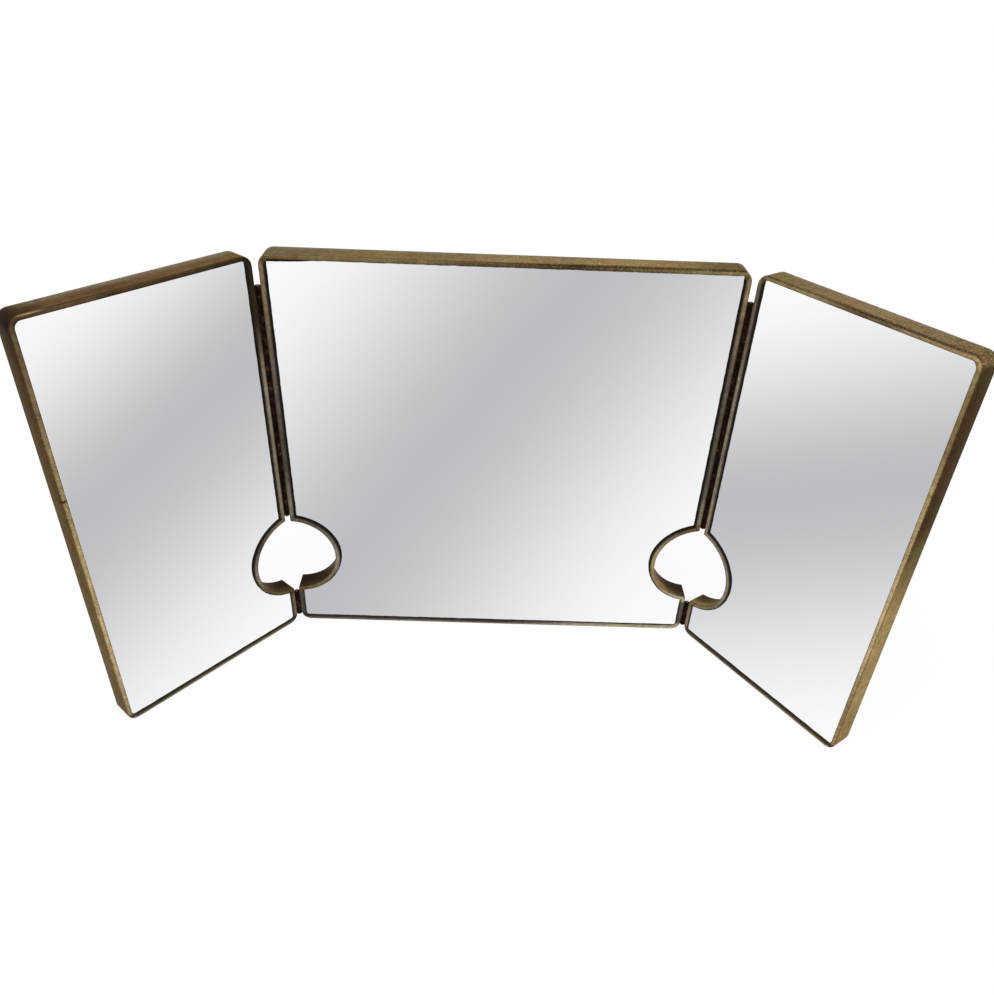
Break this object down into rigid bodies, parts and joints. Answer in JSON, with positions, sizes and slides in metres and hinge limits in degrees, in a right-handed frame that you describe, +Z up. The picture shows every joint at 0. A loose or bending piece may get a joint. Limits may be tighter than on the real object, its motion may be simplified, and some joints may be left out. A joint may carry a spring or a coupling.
{
  "type": "trifold vanity mirror",
  "caption": "Free-standing dressing-table mirror: a wide centre mirror and two narrower wings in bent brass bar, hinged to fold forward over it, with round finger openings at the hinges.",
  "frame": {"origin": "middle of the underside of the centre frame, on the surface that the mirror stands on", "axes": "+Z up, -Y the way the centre mirror faces, +X to the right as seen from the front, along the longest side"},
  "size_m": [0.6736, 0.1778, 0.39],
  "materials": {
    "frame_brass": "aged, unlacquered brass with brown and olive patina",
    "mirror_glass": "silvered glass",
    "felt": "thin wool felt",
    "plywood": "aged plywood, unvarnished",
    "lug_brass": "dull brass",
    "screw_brass": "turned brass, slotted",
    "hinge_brass": "brass gone dark brown to black",
    "pin_steel": "drawn steel wire"
  },
  "bodies": {
    "center_panel": {"center_frame": "frame_brass", "center_mirror": "mirror_glass", "center_felt": "felt", "center_back_board": "plywood", "center_lugs": "lug_brass", "center_lug_screws": "screw_brass", "left_upper_hinge_center_leaf": "hinge_brass", "left_upper_hinge_pin": "pin_steel", "left_lower_hinge_center_leaf": "hinge_brass", "left_lower_hinge_pin": "pin_steel", "left_hinge_center_screws": "screw_brass", "right_upper_hinge_center_leaf": "hinge_brass", "right_upper_hinge_pin": "pin_steel", "right_lower_hinge_center_leaf": "hinge_brass", "right_lower_hinge_pin": "pin_steel", "right_hinge_center_screws": "screw_brass"},
    "left_wing": {"left_frame": "frame_brass", "left_mirror": "mirror_glass", "left_felt": "felt", "left_back_board": "plywood", "left_lugs": "lug_brass", "left_lug_screws": "screw_brass", "left_upper_hinge_wing_leaf": "hinge_brass", "left_lower_hinge_wing_leaf": "hinge_brass", "left_hinge_wing_screws": "screw_brass"},
    "right_wing": {"right_frame": "frame_brass", "right_mirror": "mirror_glass", "right_felt": "felt", "right_back_board": "plywood", "right_lugs": "lug_brass", "right_lug_screws": "screw_brass", "right_upper_hinge_wing_leaf": "hinge_brass", "right_lower_hinge_wing_leaf": "hinge_brass", "right_hinge_wing_screws": "screw_brass"}
  },
  "joints": [
    {"name": "left_wing_hinge", "type": "hinge", "parent": "center_panel", "child": "left_wing", "pos_m": [-0.2025, -0.0103, 0.195], "axis": [0, 0, 1], "range_deg": [-61, 131]},
    {"name": "right_wing_hinge", "type": "hinge", "parent": "center_panel", "child": "right_wing", "pos_m": [0.2025, -0.0103, 0.195], "axis": [0, 0, -1], "range_deg": [-67, 125]}
  ]
}
